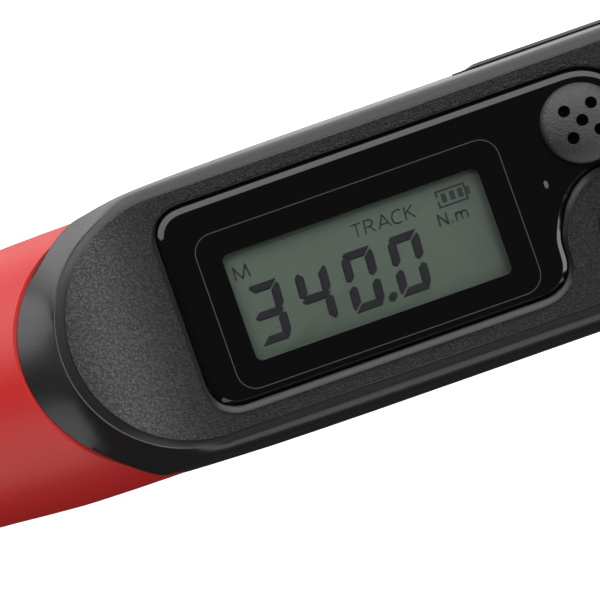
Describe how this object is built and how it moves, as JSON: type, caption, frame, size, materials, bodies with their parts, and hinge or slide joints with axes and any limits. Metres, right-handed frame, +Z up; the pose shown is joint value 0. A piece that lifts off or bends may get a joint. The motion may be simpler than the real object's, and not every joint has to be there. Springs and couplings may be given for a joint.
{
  "type": "digital torque wrench",
  "caption": "Electronic torque wrench with a reversible ratchet head, square drive with ball detent, chrome tube, black display housing with LCD and keys, red handle body and rubber grip.",
  "frame": {"origin": "centre of the end face of the drive square", "axes": "+Z up out of the display side, so the drive square points to -Z; +X from the handle towards the head, which is also the reading direction of the display; +Y across the tool"},
  "size_m": [0.672, 0.0442, 0.0517],
  "materials": {
    "head_chrome": "bright polished",
    "tube_chrome": "bright polished",
    "steel": "machined",
    "bronze": "plain",
    "housing_black": "fine leather grain on the top face, smooth satin rim",
    "cap_black": "satin",
    "window_gloss": "polished black",
    "lcd_face": "reflective green-grey display",
    "board_green": "solder resist",
    "rubber_black": "matte",
    "key_rubber": "matte",
    "handle_red": "satin",
    "cable_white": "plain",
    "cell_wrap": null
  },
  "bodies": {
    "wrench": {"battery_1": "cell_wrap", "battery_2": "cell_wrap", "battery_cable": "cable_white", "battery_sleeve": "housing_black", "beam_pin": "steel", "buzzer_cap": "cap_black", "buzzer_disc": "bronze", "contact_strip": "rubber_black", "cover_screw_1": "steel", "cover_screw_2": "steel", "cover_screw_3": "steel", "cover_screw_4": "steel", "data_port": "steel", "display_window": "window_gloss", "front_contact": "bronze", "gasket_left": "rubber_black", "gasket_right": "rubber_black", "grip_sleeve": "rubber_black", "handle_body": "handle_red", "head_body": "head_chrome", "head_cover": "steel", "head_pin": "steel", "housing_screw_1": "steel", "housing_screw_2": "steel", "housing_screw_3": "steel", "housing_screw_4": "steel", "indicator_led": "cable_white", "lcd_glass": "lcd_face", "lower_shell": "housing_black", "main_board": "board_green", "neck_collar": "housing_black", "pawl_pin": "steel", "sensor_cable": "cable_white", "steel_tube": "tube_chrome", "strain_gauge_left": "bronze", "strain_gauge_right": "bronze", "switch_down": "steel", "switch_power": "steel", "switch_set": "steel", "switch_up": "steel", "thrust_washer": "bronze", "torque_beam": "steel", "upper_shell": "housing_black"},
    "drive": {"drive_gear": "steel", "release_spring": "steel"},
    "release": {"release_button": "head_chrome"},
    "ball": {"detent_ball": "steel"},
    "pawl": {"pawl": "steel"},
    "lever": {"reverse_lever": "head_chrome", "lever_clip": "steel", "pawl_plunger": "steel", "plunger_spring": "steel"},
    "key_power": {"key_power": "key_rubber"},
    "key_up": {"key_up": "key_rubber"},
    "key_down": {"key_down": "key_rubber"},
    "key_set": {"key_set": "key_rubber"},
    "port_flap": {"port_cover": "rubber_black"},
    "cap_seal": {"cap_o_ring": "rubber_black"},
    "cap": {"battery_cap": "handle_red", "cap_spring": "steel"}
  },
  "joints": [
    {"name": "drive_spin", "type": "hinge", "parent": "wrench", "child": "drive", "pos_m": [0, 0, 0.02], "axis": [0, 0, 1], "continuous": true},
    {"name": "release_press", "type": "slide", "parent": "drive", "child": "release", "axis": [0, 0, -1], "range_m": [0, 0.0025], "deforming": ["release_spring"]},
    {"name": "ball_retract", "type": "slide", "parent": "drive", "child": "ball", "axis": [-1, 0, 0], "range_m": [0, 0.001]},
    {"name": "lever_turn", "type": "hinge", "parent": "wrench", "child": "lever", "pos_m": [-0.0315, 0, 0.04], "axis": [0, 0, 1], "range_deg": [-24, 24]},
    {"name": "pawl_rock", "type": "hinge", "parent": "wrench", "child": "pawl", "pos_m": [-0.0215, 0, 0.029], "axis": [0, 0, 1], "range_deg": [-8, 8]},
    {"name": "key_power_press", "type": "slide", "parent": "wrench", "child": "key_power", "axis": [0, 0, -1], "range_m": [0, 0.0008]},
    {"name": "key_up_press", "type": "slide", "parent": "wrench", "child": "key_up", "axis": [0, 0, -1], "range_m": [0, 0.0008]},
    {"name": "key_down_press", "type": "slide", "parent": "wrench", "child": "key_down", "axis": [0, 0, -1], "range_m": [0, 0.0008]},
    {"name": "key_set_press", "type": "slide", "parent": "wrench", "child": "key_set", "axis": [0, 0, -1], "range_m": [0, 0.0008]},
    {"name": "port_cover_open", "type": "hinge", "parent": "wrench", "child": "port_flap", "pos_m": [-0.2885, 0.0222, 0.0336], "axis": [-1, 0, 0], "range_deg": [0, 110]},
    {"name": "cap_unscrew", "type": "slide", "parent": "wrench", "child": "cap_seal", "axis": [-1, 0, 0], "range_m": [0, 0.006]},
    {"name": "cap_turn", "type": "hinge", "parent": "cap_seal", "child": "cap", "pos_m": [-0.636, 0, 0.03], "axis": [-1, 0, 0], "range_deg": [0, 720]}
  ],
  "couplings": [
    {"joint": "ball_retract", "follows": "release_press", "ratio": 0.4},
    {"joint": "pawl_rock", "follows": "lever_turn", "ratio": -0.33333},
    {"joint": "cap_unscrew", "follows": "cap_turn", "m_per_rad": 0.000477}
  ]
}
